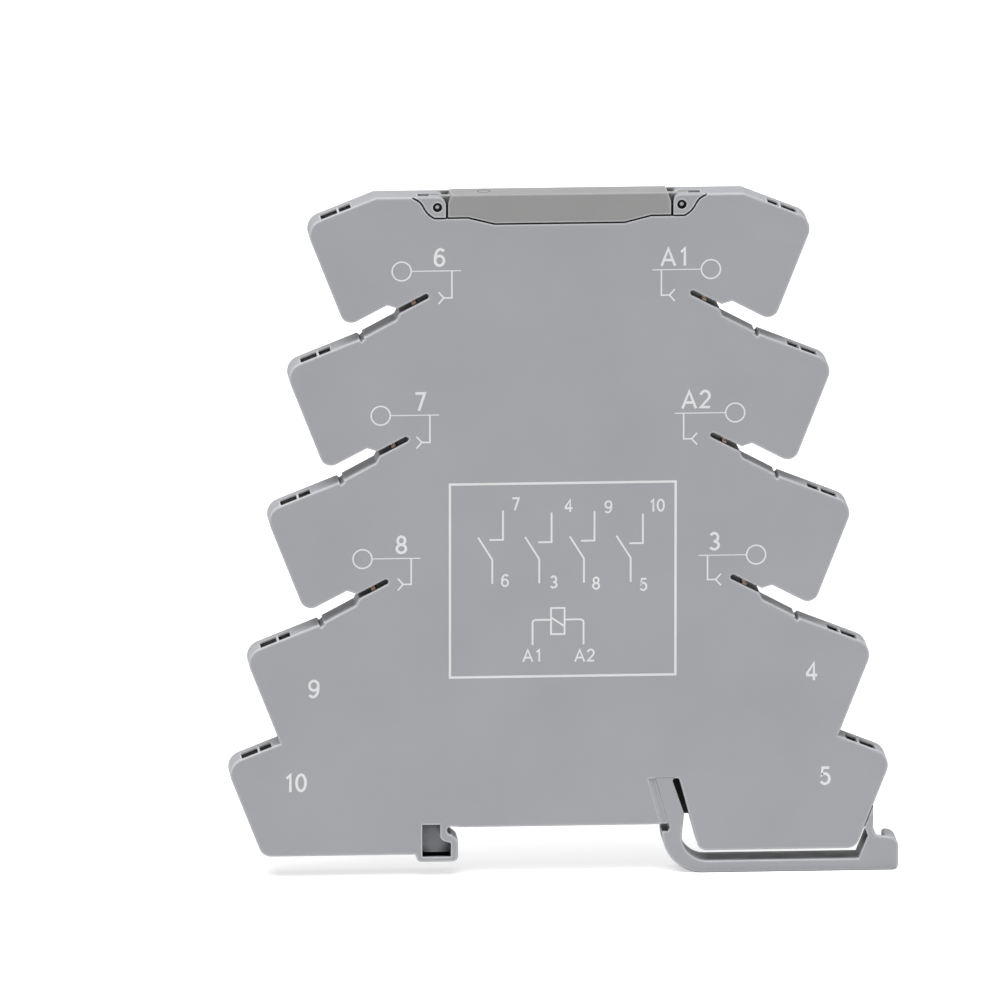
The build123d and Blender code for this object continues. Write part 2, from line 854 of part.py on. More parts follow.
def latch_outline():
    """Rail latch seen from the front, without its rail notch."""
    neck_gap = latch_gap / arm_cosine
    neck_low_z = (body_bottom_z + latch_neck_top_z) / 2
    finger_z = latch_tab_top_z
    with BuildSketch() as outline:
        with BuildLine():
            Polyline(
                (leaf_left(0), leaf_end_z),
                (leaf_left(0), lip_top_z),
                (latch_tooth_x, lip_top_z),
                (latch_tooth_x, latch_bottom_z),
                (latch_end_x, latch_bottom_z),
                (latch_end_x, latch_tab_top_z - latch_tab_drop),
                (latch_neck_x, latch_tab_top_z),
                (latch_neck_x, latch_neck_top_z),
                (side_x(latch_neck_top_z) + neck_gap, latch_neck_top_z),
                (side_x(neck_low_z) + neck_gap, neck_low_z),
                (side_x(finger_z) + finger_gap, finger_z),
                (side_x(latch_bar_top_z) + finger_gap, latch_bar_top_z),
                (leaf_neck_x - leaf_waist, latch_bar_top_z),
                (leaf_end_x, leaf_end_z),
                close=True,
            )
        make_face()
        heel = (latch_tooth_x, latch_bottom_z)
        fillet(corners_near(outline, [heel]), latch_heel_radius)
        inner_heel = (leaf_neck_x - leaf_waist, latch_bar_top_z)
        fillet(corners_near(outline, [inner_heel]), inner_heel_radius)
        fillet(corners_near(outline, [(latch_neck_x, latch_tab_top_z)]), latch_neck_radius)
        tab_corner = (latch_end_x, latch_tab_top_z - latch_tab_drop)
        fillet(corners_near(outline, [tab_corner]), latch_tab_radius)
        fillet(corners_near(outline, [(latch_end_x, latch_bottom_z)]), latch_corner_radius)
        with Locations((latch_notch_x, lip_top_z + flange_notch_radius)):
            Circle(flange_notch_radius, mode=Mode.SUBTRACT)
    return outline.sketch


with BuildPart() as rail_latch:
    with BuildSketch(face_plane(back_y)):
        add(latch_outline())
    extrude(amount=module_thickness)
    latch_rim = rail_latch.faces().sort_by(Axis.Y)[0].outer_wire().edges()
    chamfer([edge for edge in latch_rim if edge.length > inner_heel_radius], edge_break)
    # Pocket for a screwdriver blade, behind a thin lip.
    with BuildSketch(face_plane(back_y)):
        with Locations((latch_neck_x + blade_pocket_start, latch_neck_top_z)):
            Rectangle(
                blade_pocket_length,
                latch_neck_top_z - blade_pocket_floor_z,
                align=(Align.MIN, Align.MAX),
            )
    extrude(amount=module_thickness - blade_lip, mode=Mode.SUBTRACT)
    pocket_end_x = latch_neck_x + blade_pocket_start + blade_pocket_length
    pocket_rims = rail_latch.edges().filter_by(Axis.Y).filter_by_position(
        Axis.X, pocket_end_x - latch_gap, pocket_end_x + latch_gap
    )
    fillet(pocket_rims.sort_by(Axis.Z)[-1], blade_pocket_round)

# Spring leaf of the latch
with BuildPart() as latch_leaf:
    with BuildSketch(face_plane(inner_back_y - latch_gap)) as leaf_profile:
        with BuildLine():
            Polyline(
                (leaf_left(leaf_end_z), leaf_end_z),
                (leaf_left(bay_top_z), bay_top_z),
                (leaf_root_x + leaf_gusset, bay_top_z),
                (leaf_root_x, bay_top_z - leaf_gusset),
                (leaf_neck_x, leaf_neck_z),
                (leaf_end_x, leaf_end_z),
                close=True,
            )
        make_face()
    extrude(amount=inner_back_y - latch_gap - front_y)

# Lid
with BuildPart() as top_cover:
    lid_back_y = inner_back_y - lid_back_gap
    lid_front_y = front_y + lid_recess
    with BuildSketch(face_plane(lid_back_y)):
        add(lid_outline())
    extrude(amount=lid_back_y - lid_front_y)
    with BuildSketch(face_plane(lid_back_y - lid_wall)):
        with Locations((0, lid_top_z - lid_wall)):
            Rectangle(
                2 * (lid_top_x - lid_wall),
                lid_top_z,
                align=(Align.CENTER, Align.MAX),
            )
    extrude(amount=lid_back_y - lid_front_y - 2 * lid_wall, mode=Mode.SUBTRACT)
    with BuildSketch(face_plane(front_y + ear_thickness + tongue_gap + tongue_thickness)):
        for side in (1, -1):
            with Locations((side * lid_end_x, pin_z)):
                Rectangle(
                    2 * (pin_x + tongue_heel - lid_end_x),
                    tongue_rise,
                    align=(Align.CENTER, Align.MIN),
                )
                Rectangle(2 * (pin_x - lid_end_x), 2 * tongue_radius)
            with Locations((side * pin_x, pin_z)):
                Circle(tongue_radius)
        with Locations((pin_x, pin_z), (-pin_x, pin_z)):
            Circle(pin_diameter / 2 + pin_clearance, mode=Mode.SUBTRACT)
        with Locations((pin_x, pin_z)):
            Rectangle(
                pin_diameter + 2 * snap_clearance,
                2 * tongue_radius,
                align=(Align.CENTER, Align.MAX),
                mode=Mode.SUBTRACT,
            )
    extrude(amount=tongue_thickness)
    with Locations((lamp_x, 0, lid_top_z)):
        Hole(guide_radius, depth=2 * lid_wall)

# Light guide, pressed flush into the lid
with BuildPart() as light_guide:
    with Locations((lamp_x, 0, lid_top_z)):
        Cylinder(guide_radius, guide_head, align=(Align.CENTER, Align.CENTER, Align.MAX))
        Cylinder(
            guide_stem_radius,
            lid_top_z - guide_bottom_z,
            align=(Align.CENTER, Align.CENTER, Align.MAX),
        )


def ear_pin(side):
    """Pin from the front ear through the tongue into the rear ear."""
    with BuildPart() as pin:
        with BuildSketch(face_plane(inner_back_y)):
            with Locations((side * pin_x, pin_z)):
                Circle(pin_diameter / 2)
        extrude(amount=inner_back_y - front_y - pin_stand)
        fillet(pin.faces().sort_by(Axis.Y)[0].edges(), pin_round)
    return pin


hinge_pin = ear_pin(-1)
snap_pin = ear_pin(1)

# Circuit board
with BuildPart() as circuit_board:
    with BuildSketch(face_plane(board_front_y + board_thickness)):
        with BuildLine():
            side_points = [(board_top_half_width, board_top_z)]
            for arm in range(1, arm_count):
                step_z = tip(arm)[1] - board_step_drop
                side_points.append((board_half_width(arm), step_z))
                side_points.append((board_half_width(arm + 1), step_z))
            side_points.append((board_half_width(arm_count), board_bottom_z))
            bay_edge_z = bay_top_z + outer_wall + board_bay_clearance
            bay_points = [
                (relief_bottom_x + outer_wall + board_bay_clearance, board_bottom_z),
                (relief_bottom_x + outer_wall + board_bay_clearance, bay_edge_z),
                (bay_corner_x - outer_wall - board_bay_clearance, bay_edge_z),
                (bay_corner_x - outer_wall - board_bay_clearance, board_bottom_z),
            ]
            left_points = [(-x, z) for x, z in reversed(side_points)]
            Polyline(*side_points, *bay_points, *left_points, close=True)
        make_face()
        for index in range(relay_count):
            with Locations((0, relay_base_z + relay_pitch * index - relay_window_gap)):
                Rectangle(
                    relay_length + 2 * relay_window_gap,
                    relay_height + 2 * relay_window_gap,
                    align=(Align.CENTER, Align.MIN),
                    mode=Mode.SUBTRACT,
                )
        with Locations(*seat_posts()):
            Circle(peg_radius + peg_clearance, mode=Mode.SUBTRACT)
    extrude(amount=board_thickness)

# Indicator lamp, soldered to the top of the board
with BuildPart() as indicator_lamp:
    lamp_y = board_front_y - lamp_radius
    with Locations((lamp_x, lamp_y, board_top_z - lamp_radius)):
        Cylinder(
            lamp_radius,
            lamp_height - lamp_radius,
            align=(Align.CENTER, Align.CENTER, Align.MIN),
        )
    with Locations((lamp_x, lamp_y, board_top_z + lamp_height - 2 * lamp_radius)):
        Sphere(lamp_radius)

# Suppressor diode on the board
with BuildPart() as suppressor_diode:
    with Locations((0, board_front_y, board_top_z - diode_drop)):
        Box(diode_length, diode_thickness, diode_height, align=(Align.CENTER, Align.MAX, Align.CENTER))
    chamfer(suppressor_diode.faces().sort_by(Axis.Y)[0].edges(), edge_break)


def current_bar(arm, side):
    """Copper bar from the wire clamp to the board, with a jumper fork where slotted."""
    tab_end = (bar_reach + arm_cosine * tab_length, bar_depth + arm_sine * tab_length)
    path = [(bar_inset, bar_top), (bar_inset, bar_depth), (bar_reach, bar_depth), tab_end]
    with BuildPart() as bar:
        with BuildSketch(arm_plane(arm, side)):
            add(thick_path(path, bar_thickness, bar_bend))
        if arm <= slotted_arms:
            with BuildSketch(channel_plane(arm, side)):
                reach = slot_length + outer_wall + fork_gap + fork_thickness / 2
                low = slot_width + outer_wall + fork_gap + fork_thickness / 2
                high = -outer_wall - fork_gap - fork_thickness / 2
                fork = [
                    (fork_tip, contact_proud),
                    (fork_tip, high),
                    (reach, high),
                    (reach, low),
                    (fork_tip, low),
                    (fork_tip, slot_width - contact_proud),
                ]
                add(thick_path(fork, fork_thickness, fork_thickness))
                stem = [(reach, high - 2 * bar_thickness), (reach, slot_width)]
                add(thick_path(stem, fork_thickness, fork_thickness))
        extrude(amount=bar_width / 2, both=True)
    return bar


def clamp_spring(arm, side):
    """Steel spring that presses the wire against the current bar."""
    seat = bar_depth - bar_thickness / 2 - spring_thickness / 2
    touch = bar_inset + bar_thickness / 2 + spring_thickness
    path = [
        (touch, spring_tip_depth),
        (release_start, spring_shoulder_depth + spring_bend),
        (spring_back - spring_bend, spring_shoulder_depth),
        (spring_back, spring_shoulder_depth + 2 * spring_bend),
        (spring_back, seat),
        (touch + 2 * spring_bend, seat),
    ]
    with BuildPart() as spring:
        with BuildSketch(arm_plane(arm, side)):
            add(thick_path(path, spring_thickness, spring_bend / 2))
        extrude(amount=spring_width / 2, both=True)
    return spring


def block(x_range, width, z_range, y=0):
    """Box between two X values and two Z values, added to the part being built."""
    with Locations((sum(x_range) / 2, y, sum(z_range) / 2)):
        Box(x_range[1] - x_range[0], width, z_range[1] - z_range[0])


def cut(x_range, width, z_range, y=0):
    """Box between two X values and two Z values, cut from the part being built."""
    with Locations((sum(x_range) / 2, y, sum(z_range) / 2)):
        Box(x_range[1] - x_range[0], width, z_range[1] - z_range[0], mode=Mode.SUBTRACT)


def centred(middle, size):
    return middle - size / 2, middle + size / 2


# Places inside a relay, from its lower face
pin_y = board_front_y - relay_pin_size / 2
yoke_start_x = yoke_inset - relay_length / 2
yoke_end_x = yoke_start_x + yoke_leg
pivot_x = yoke_end_x - pivot_radius
coil_start_x = yoke_end_x + coil_gap
coil_end_x = relay_length / 2 - contact_side_length
contact_x = relay_length / 2 - contact_inset
fixed_post_x = relay_length / 2 - fixed_post_inset
pole_start_x = coil_end_x + base_clearance
pole_end_x = pole_start_x + yoke_leg
swing_slope = math.tan(math.radians(armature_swing))
pole_top_z = armature_z - (pole_end_x - pivot_x) * swing_slope - stop_gap
contact_low_z = armature_z + armature_thickness - contact_height
contact_reach = contact_x + contact_radius - pivot_x
fixed_top_z = contact_low_z - contact_reach * swing_slope - stop_gap
coil_pin_xs = [coil_start_x + coil_flange / 2, coil_end_x - coil_flange / 2]
yoke_pin_x = yoke_start_x + relay_pin_size / 2
relay_pin_xs = [yoke_pin_x, *coil_pin_xs, fixed_post_x]
armature_end_x = pole_end_x + armature_overhang


def relay_case(z):
    """Thin cap over the relay's works."""
    inner_x = relay_length / 2 - relay_wall
    with BuildPart() as case:
        block(centred(0, relay_length), relay_thickness, (z, z + relay_height))
        fillet(case.edges().filter_by(Axis.Z), relay_wall)
        cut((-inner_x, inner_x), relay_thickness - 2 * relay_wall, (z, z + relay_height - relay_wall))
    return case


def relay_base(z):
    """Moulded base with a hole for each pin."""
    gap = 2 * (relay_wall + base_clearance)
    with BuildPart() as base:
        block(centred(0, relay_length - gap), relay_thickness - gap, (z, z + base_height))
        for x in relay_pin_xs:
            hole = relay_pin_size + 2 * base_clearance
            cut(centred(x, hole), hole, (z, z + base_height), pin_y)
    return base


def relay_coil(z):
    """Bobbin with its winding and its two pins."""
    low_z = z + base_height
    flange_top = low_z + coil_flange_height
    core_hole = core_height + 2 * base_clearance
    with BuildPart() as coil:
        block(
            (coil_start_x, coil_end_x),
            winding_width,
            centred(z + core_z, winding_height),
        )
        fillet(coil.edges().filter_by(Axis.X), winding_round)
        for x in coil_pin_xs:
            block(centred(x, coil_flange), winding_width, (low_z, flange_top))
            block(centred(x, relay_pin_size), relay_pin_size, (z - relay_pin_length, low_z), pin_y)
        cut((coil_start_x, coil_end_x), core_hole, centred(z + core_z, core_hole))
    return coil


def pivot_bead(z, radius, mode):
    """Round along the armature's axis, added as the bead or cut as its groove."""
    with Locations(Location((pivot_x, 0, z + armature_z), (90, 0, 0))):
        Cylinder(radius, yoke_width, mode=mode)


def relay_core(z):
    """Iron core and yoke in one piece, with the common pin."""
    with BuildPart() as core:
        block((yoke_start_x, yoke_end_x), yoke_width, (z + base_height, z + armature_z - stop_gap))
        pivot_bead(z, pivot_radius, Mode.ADD)
        block((yoke_start_x, pole_end_x), core_height, centred(z + core_z, core_height))
        block(
            (pole_start_x, pole_end_x),
            yoke_width,
            (z + core_z - core_height / 2, z + pole_top_z),
        )
        block(
            centred(yoke_pin_x, relay_pin_size),
            relay_pin_size,
            (z - relay_pin_length, z + base_height),
            pin_y,
        )
    return core


def relay_armature(z):
    """Iron plate that tips on the yoke's round bead."""
    low_z = z + armature_z
    with BuildPart() as armature:
        block((yoke_start_x, armature_end_x), yoke_width, (low_z, low_z + armature_thickness))
        fillet(armature.edges().filter_by(Axis.Y), armature_round)
        pivot_bead(z, pivot_radius + pivot_clearance, Mode.SUBTRACT)
    return armature


def relay_contact_spring(z):
    """Contact spring on the armature, with its contact rivet."""
    low_z = z + armature_z + armature_thickness
    with BuildPart() as spring:
        block(
            (yoke_end_x + leaf_spring_root, contact_x + leaf_spring_overhang),
            leaf_spring_width,
            (low_z, low_z + leaf_spring_thickness),
        )
        with Locations((contact_x, 0, low_z)):
            Cylinder(
                contact_radius,
                contact_height,
                align=(Align.CENTER, Align.CENTER, Align.MAX),
            )
    return spring


def relay_fixed_contact(z):
    """Fixed contact on its post, with its pin."""
    top = z + fixed_top_z - contact_height
    with BuildPart() as contact:
        block(
            centred(fixed_post_x, relay_pin_size),
            relay_pin_size,
            (z - relay_pin_length, z + base_height),
            pin_y,
        )
        block(
            centred(fixed_post_x, relay_pin_size),
            leaf_spring_width,
            (z + base_height, top),
        )
        block(
            (contact_x - contact_radius, fixed_post_x + relay_pin_size / 2),
            leaf_spring_width,
            (top - fixed_strip_thickness, top),
        )
        with Locations((contact_x, 0, top)):
            Cylinder(
                contact_radius,
                contact_height,
                align=(Align.CENTER, Align.CENTER, Align.MIN),
            )
    return contact


# Every piece by its name
pieces = {
    "rear_shell": rear_shell,
    "front_cover": front_cover,
    "rail_latch": rail_latch,
    "latch_leaf": latch_leaf,
    "top_cover": top_cover,
    "light_guide": light_guide,
    "hinge_pin": hinge_pin,
    "snap_pin": snap_pin,
    "circuit_board": circuit_board,
    "indicator_lamp": indicator_lamp,
    "suppressor_diode": suppressor_diode,
}
for side, terminal_names in ((-1, left_names), (1, right_names)):
    for arm, terminal in enumerate(terminal_names, start=1):
        pieces[f"terminal_{terminal}_bar"] = current_bar(arm, side)
        pieces[f"terminal_{terminal}_spring"] = clamp_spring(arm, side)
relay_makers = {
    "case": relay_case,
    "base": relay_base,
    "coil": relay_coil,
    "core": relay_core,
    "armature": relay_armature,
    "contact_spring": relay_contact_spring,
    "fixed_contact": relay_fixed_contact,
}
for index in range(relay_count):
    relay_z = relay_base_z + relay_pitch * index
    for name, maker in relay_makers.items():
        pieces[f"relay_{index + 1}_{name}"] = maker(relay_z)
for name, piece in pieces.items():
    piece.part.label = name
    export_step(piece.part, f"parts/{name}.step")
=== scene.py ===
import json
import math

import bmesh
import bpy
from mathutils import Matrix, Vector


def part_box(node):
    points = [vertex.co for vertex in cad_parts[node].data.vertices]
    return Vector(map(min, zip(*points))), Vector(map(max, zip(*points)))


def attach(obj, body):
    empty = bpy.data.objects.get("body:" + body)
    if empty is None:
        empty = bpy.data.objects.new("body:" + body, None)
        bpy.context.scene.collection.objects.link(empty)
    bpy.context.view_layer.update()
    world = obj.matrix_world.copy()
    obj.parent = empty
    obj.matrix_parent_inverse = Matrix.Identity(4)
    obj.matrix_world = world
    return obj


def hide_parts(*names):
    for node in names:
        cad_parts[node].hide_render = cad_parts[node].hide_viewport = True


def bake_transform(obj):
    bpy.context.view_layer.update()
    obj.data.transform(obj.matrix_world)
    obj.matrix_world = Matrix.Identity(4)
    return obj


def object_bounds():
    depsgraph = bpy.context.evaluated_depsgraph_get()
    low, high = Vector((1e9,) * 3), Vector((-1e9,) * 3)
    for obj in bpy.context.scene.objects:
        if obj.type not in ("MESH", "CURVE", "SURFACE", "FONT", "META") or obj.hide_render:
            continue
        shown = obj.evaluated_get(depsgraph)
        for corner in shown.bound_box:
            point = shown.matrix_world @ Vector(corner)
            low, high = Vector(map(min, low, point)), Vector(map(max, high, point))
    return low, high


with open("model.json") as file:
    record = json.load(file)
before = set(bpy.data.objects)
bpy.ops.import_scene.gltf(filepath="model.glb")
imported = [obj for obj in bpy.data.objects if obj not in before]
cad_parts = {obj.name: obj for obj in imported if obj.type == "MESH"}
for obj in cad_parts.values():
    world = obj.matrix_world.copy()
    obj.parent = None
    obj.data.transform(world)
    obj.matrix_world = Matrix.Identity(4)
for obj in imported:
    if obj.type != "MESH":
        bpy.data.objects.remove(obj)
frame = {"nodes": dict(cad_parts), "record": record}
nodes = frame["nodes"]
cad_low, cad_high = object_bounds()

MM = 0.001

# Sizes and places on the object, in millimetres
FRONT_Y = -3.1
INK_THICKNESS = 0.012

# Latch leaf: its ends, how far its root reaches into the housing, and how near
# its low end the latch's edges go without their painted highlight
LEAF_TOP_Z = 7.4
LEAF_LOW_Z = 0.4
LEAF_BANDS = 24
LEAF_ROOT_OVERLAP = 0.17
LATCH_JOIN_REACH = 0.45

# Thin dark ring of painted shadow in the seam round the light guide
SEAM_SEGMENTS = 48
SEAM_SIDES = 8
SEAM_RADIUS = 0.08
SEAM_SINK = 0.04

# Camera: a long lens, a little above the module and a little to its left
CAMERA_AZIMUTH = -3.9
CAMERA_ELEVATION = 12.0
CAMERA_DISTANCE = 4.0
PIXELS_PER_METRE = 6366.0
PICTURE_PIXELS = 1000.0
SENSOR_WIDTH = 36.0
PICTURE_CENTRE = (-9.385, FRONT_Y, 52.63)

# Painted shade in recesses, from ambient occlusion: how open a spot is where the painted shade is
# darkest and where it is gone
PAINTED_SHADE_REACH = 0.0025
PAINTED_SHADE_DARKEST = 0.28
PAINTED_SHADE_GONE = 0.56
PAINTED_SHADE_SAMPLES = 8

# Edges in a colour of their own, rubbed wear on some materials and a painted highlight on the
# housing, latch, leaf and lid: how far the rounded normal leans on a flat face and on an edge
EDGE_FLAT = 0.99
EDGE_SHARP = 0.85
EDGE_SAMPLES = 4

# Noise: cells in a metre, and the part of its range that is used
MOTTLE_SCALE = 70.0
GLOSS_SCALE = 450.0
GRAIN_DETAIL = 2.0
NOISE_LOW = 0.3
NOISE_HIGH = 0.7

# Plastic of the housing, the latch and its leaf, with a painted highlight on their edges
HOUSING_COLOUR = (0.364, 0.369, 0.387)
HOUSING_GLOSS = (0.5, 0.62)
HOUSING_HIGHLIGHT_RIM = (0.66, 0.67, 0.69)
HIGHLIGHT_RIM_RADIUS = 0.0005

# Light on the object
SUN_DIRECTION = (-0.15, -0.36, 1.0)
SUN_STRENGTH = 3.3
SUN_SOFTNESS = math.radians(50)
WORLD_STRENGTH = 0.24
FLOOR_SIZE = 6.0
FLOOR_TONE = 0.75
FLOOR_ROUGHNESS = 0.9
FLOOR_LIFT = 0.6


# Materials


def link(tree, source, target):
    tree.links.new(source, target)


def noise(tree, scale, detail=3.0, stretch=(1.0, 1.0, 1.0)):
    """Noise in the object's own space. Scale is in cells per metre."""
    place = tree.nodes.new("ShaderNodeTexCoord")
    mapping = tree.nodes.new("ShaderNodeMapping")
    mapping.inputs["Scale"].default_value = stretch
    texture = tree.nodes.new("ShaderNodeTexNoise")
    texture.inputs["Scale"].default_value = scale
    texture.inputs["Detail"].default_value = detail
    link(tree, place.outputs["Object"], mapping.inputs["Vector"])
    link(tree, mapping.outputs["Vector"], texture.inputs["Vector"])
    return texture.outputs["Fac"]


def spread(tree, value, low, high):
    """Maps a noise value to a range."""
    mapper = tree.nodes.new("ShaderNodeMapRange")
    mapper.inputs["From Min"].default_value = NOISE_LOW
    mapper.inputs["From Max"].default_value = NOISE_HIGH
    mapper.inputs["To Min"].default_value = low
    mapper.inputs["To Max"].default_value = high
    link(tree, value, mapper.inputs["Value"])
    return mapper.outputs["Result"]


def tinted(tree, colour, factor_socket, low, high):
    """The colour, made darker and lighter by a noise value."""
    scale = spread(tree, factor_socket, low, high)
    mix = tree.nodes.new("ShaderNodeVectorMath")
    mix.operation = "SCALE"
    mix.inputs[0].default_value = colour
    link(tree, scale, mix.inputs["Scale"])
    return mix.outputs["Vector"]


def away_from_height(tree, height, reach):
    """0 near this height in millimetres and 1 elsewhere."""
    place = tree.nodes.new("ShaderNodeTexCoord")
    axes = tree.nodes.new("ShaderNodeSeparateXYZ")
    near = tree.nodes.new("ShaderNodeMath")
    near.operation = "COMPARE"
    near.inputs[1].default_value = height * MM
    near.inputs[2].default_value = reach * MM
    away = tree.nodes.new("ShaderNodeMath")
    away.operation = "SUBTRACT"
    away.inputs[0].default_value = 1.0
    link(tree, place.outputs["Object"], axes.inputs["Vector"])
    link(tree, axes.outputs["Z"], near.inputs[0])
    link(tree, near.outputs["Value"], away.inputs[1])
    return away.outputs["Value"]


def wear_and_highlight_edges(tree, radius):
    """1 on sharp edges and 0 on flat faces."""
    bevel = tree.nodes.new("ShaderNodeBevel")
    bevel.samples = EDGE_SAMPLES
    bevel.inputs["Radius"].default_value = radius
    geometry = tree.nodes.new("ShaderNodeNewGeometry")
    dot = tree.nodes.new("ShaderNodeVectorMath")
    dot.operation = "DOT_PRODUCT"
    link(tree, bevel.outputs["Normal"], dot.inputs[0])
    link(tree, geometry.outputs["Normal"], dot.inputs[1])
    mapper = tree.nodes.new("ShaderNodeMapRange")
    mapper.inputs["From Min"].default_value = EDGE_FLAT
    mapper.inputs["From Max"].default_value = EDGE_SHARP
    link(tree, dot.outputs["Value"], mapper.inputs["Value"])
    return mapper.outputs["Result"]


def painted_recess_shade(tree, reach):
    """Painted shade: 0 deep in narrow recesses and 1 on open faces, from ambient occlusion."""
    shade = tree.nodes.new("ShaderNodeAmbientOcclusion")
    shade.samples = PAINTED_SHADE_SAMPLES
    shade.inputs["Distance"].default_value = reach
    mapper = tree.nodes.new("ShaderNodeMapRange")
    mapper.inputs["From Min"].default_value = PAINTED_SHADE_DARKEST
    mapper.inputs["From Max"].default_value = PAINTED_SHADE_GONE
    link(tree, shade.outputs["AO"], mapper.inputs["Value"])
    return mapper.outputs["Result"]


def finish_material(
    name,
    colour,
    roughness,
    metallic=0.0,
    grain=9000.0,
    grain_depth=0.00001,
    grain_strength=0.25,
    mottle=0.03,
    stretch=(1.0, 1.0, 1.0),
    wear_and_highlight_colour=None,
    edge_radius=0.0002,
    edge_share=0.7,
    specular=0.35,
    painted_shade_reach=None,
    join_z=None,
):
    """Material with grain, uneven gloss, faint mottling and edges in a colour of their own.

    The edge colour is rubbed wear on most materials and a painted highlight on the housing,
    latch, leaf and lid. Edges near join_z stay plain, because another piece goes on from there.
    Given a reach for it, the colour also gets painted shade in recesses.
    """
    material = bpy.data.materials.new(name)
    material.use_nodes = True
    tree = material.node_tree
    shader = tree.nodes["Principled BSDF"]
    shader.inputs["Metallic"].default_value = metallic
    shader.inputs["Specular IOR Level"].default_value = specular
    base = tinted(tree, colour, noise(tree, MOTTLE_SCALE), 1 - mottle, 1 + mottle)
    # Edges in their own colour: rubbed wear on most materials, a painted highlight on the housing,
    # latch, leaf and lid.
    if wear_and_highlight_colour is not None:
        edge = wear_and_highlight_edges(tree, edge_radius)
        share = tree.nodes.new("ShaderNodeMath")
        share.operation = "MULTIPLY"
        share.inputs[1].default_value = edge_share
        if join_z is not None:
            clear = tree.nodes.new("ShaderNodeMath")
            clear.operation = "MULTIPLY"
            link(tree, edge, clear.inputs[0])
            link(tree, away_from_height(tree, join_z, LATCH_JOIN_REACH), clear.inputs[1])
            edge = clear.outputs["Value"]
        link(tree, edge, share.inputs[0])
        mix = tree.nodes.new("ShaderNodeMix")
        mix.data_type = "RGBA"
        link(tree, share.outputs["Value"], mix.inputs["Factor"])
        link(tree, base, mix.inputs["A"])
        mix.inputs["B"].default_value = (*wear_and_highlight_colour, 1.0)
        base = mix.outputs["Result"]
    # Painted shade: the colour is darkened in recesses by ambient occlusion.
    if painted_shade_reach is not None:
        shade_painted = tree.nodes.new("ShaderNodeVectorMath")
        shade_painted.operation = "SCALE"
        link(tree, base, shade_painted.inputs[0])
        link(tree, painted_recess_shade(tree, painted_shade_reach), shade_painted.inputs["Scale"])
        base = shade_painted.outputs["Vector"]
    link(tree, base, shader.inputs["Base Color"])
    low, high = roughness
    gloss = spread(tree, noise(tree, GLOSS_SCALE, stretch=stretch), low, high)
    link(tree, gloss, shader.inputs["Roughness"])
    bump = tree.nodes.new("ShaderNodeBump")
    bump.inputs["Strength"].default_value = grain_strength
    bump.inputs["Distance"].default_value = grain_depth
    link(tree, noise(tree, grain, GRAIN_DETAIL, stretch), bump.inputs["Height"])
    link(tree, bump.outputs["Normal"], shader.inputs["Normal"])
    return material


# Housing: its lighter edges are a painted highlight, and its recesses get painted shade.
housing_plastic = finish_material(
    "housing plastic",
    HOUSING_COLOUR,
    HOUSING_GLOSS,
    wear_and_highlight_colour=HOUSING_HIGHLIGHT_RIM,
    edge_radius=HIGHLIGHT_RIM_RADIUS,
    edge_share=1.0,
    painted_shade_reach=PAINTED_SHADE_REACH,
)
# Latch: the same painted highlight on its edges, left out near the leaf's low end, and painted
# shade in recesses.
latch_plastic = finish_material(
    "latch plastic",
    HOUSING_COLOUR,
    HOUSING_GLOSS,
    wear_and_highlight_colour=HOUSING_HIGHLIGHT_RIM,
    edge_radius=HIGHLIGHT_RIM_RADIUS,
    edge_share=1.0,
    painted_shade_reach=PAINTED_SHADE_REACH,
    join_z=LEAF_LOW_Z,
)
# Leaf: a fainter painted highlight on its edges, and painted shade in recesses.
leaf_plastic = finish_material(
    "leaf plastic",
    HOUSING_COLOUR,
    HOUSING_GLOSS,
    wear_and_highlight_colour=(0.42, 0.425, 0.44),
    edge_radius=0.0001,
    edge_share=0.3,
    painted_shade_reach=PAINTED_SHADE_REACH,
)
# Lid: its lighter edges are a painted highlight, and its recesses get painted shade.
lid_plastic = finish_material(
    "lid plastic",
    (0.3, 0.3, 0.298),
    (0.48, 0.6),
    wear_and_highlight_colour=(0.58, 0.58, 0.59),
    edge_radius=HIGHLIGHT_RIM_RADIUS,
    edge_share=1.0,
    painted_shade_reach=PAINTED_SHADE_REACH,
)
# Light guide: its dark edges are painted shade round it.
light_guide_plastic = finish_material(
    "light guide plastic",
    (0.3, 0.305, 0.31),
    (0.4, 0.5),
    grain_strength=0.1,
    wear_and_highlight_colour=(0.08, 0.08, 0.08),
    edge_radius=0.0006,
    edge_share=1.0,
)
spring_steel = finish_material(
    "spring steel",
    (0.62, 0.62, 0.61),
    (0.22, 0.4),
    metallic=1.0,
    stretch=(1.0, 8.0, 1.0),
    wear_and_highlight_colour=(0.8, 0.8, 0.79),
)
# Pin steel: painted shade in its recesses.
pin_steel = finish_material(
    "pin steel",
    (0.5, 0.5, 0.5),
    (0.35, 0.55),
    metallic=0.3,
    wear_and_highlight_colour=(0.3, 0.3, 0.3),
    painted_shade_reach=PAINTED_SHADE_REACH,
)
contact_copper = finish_material(
    "contact copper",
    (0.95, 0.62, 0.46),
    (0.3, 0.45),
    metallic=0.4,
    stretch=(1.0, 8.0, 1.0),
    wear_and_highlight_colour=(0.98, 0.75, 0.6),
)
soft_iron = finish_material(
    "soft iron",
    (0.45, 0.45, 0.46),
    (0.3, 0.5),
    metallic=1.0,
    wear_and_highlight_colour=(0.65, 0.65, 0.66),
)
relay_plastic = finish_material(
    "relay plastic",
    (0.02, 0.02, 0.021),
    (0.4, 0.55),
    wear_and_highlight_colour=(0.08, 0.08, 0.08),
)
board_green = finish_material(
    "board green",
    (0.03, 0.16, 0.06),
    (0.3, 0.42),
    grain=2500.0,
    wear_and_highlight_colour=(0.35, 0.3, 0.15),
)
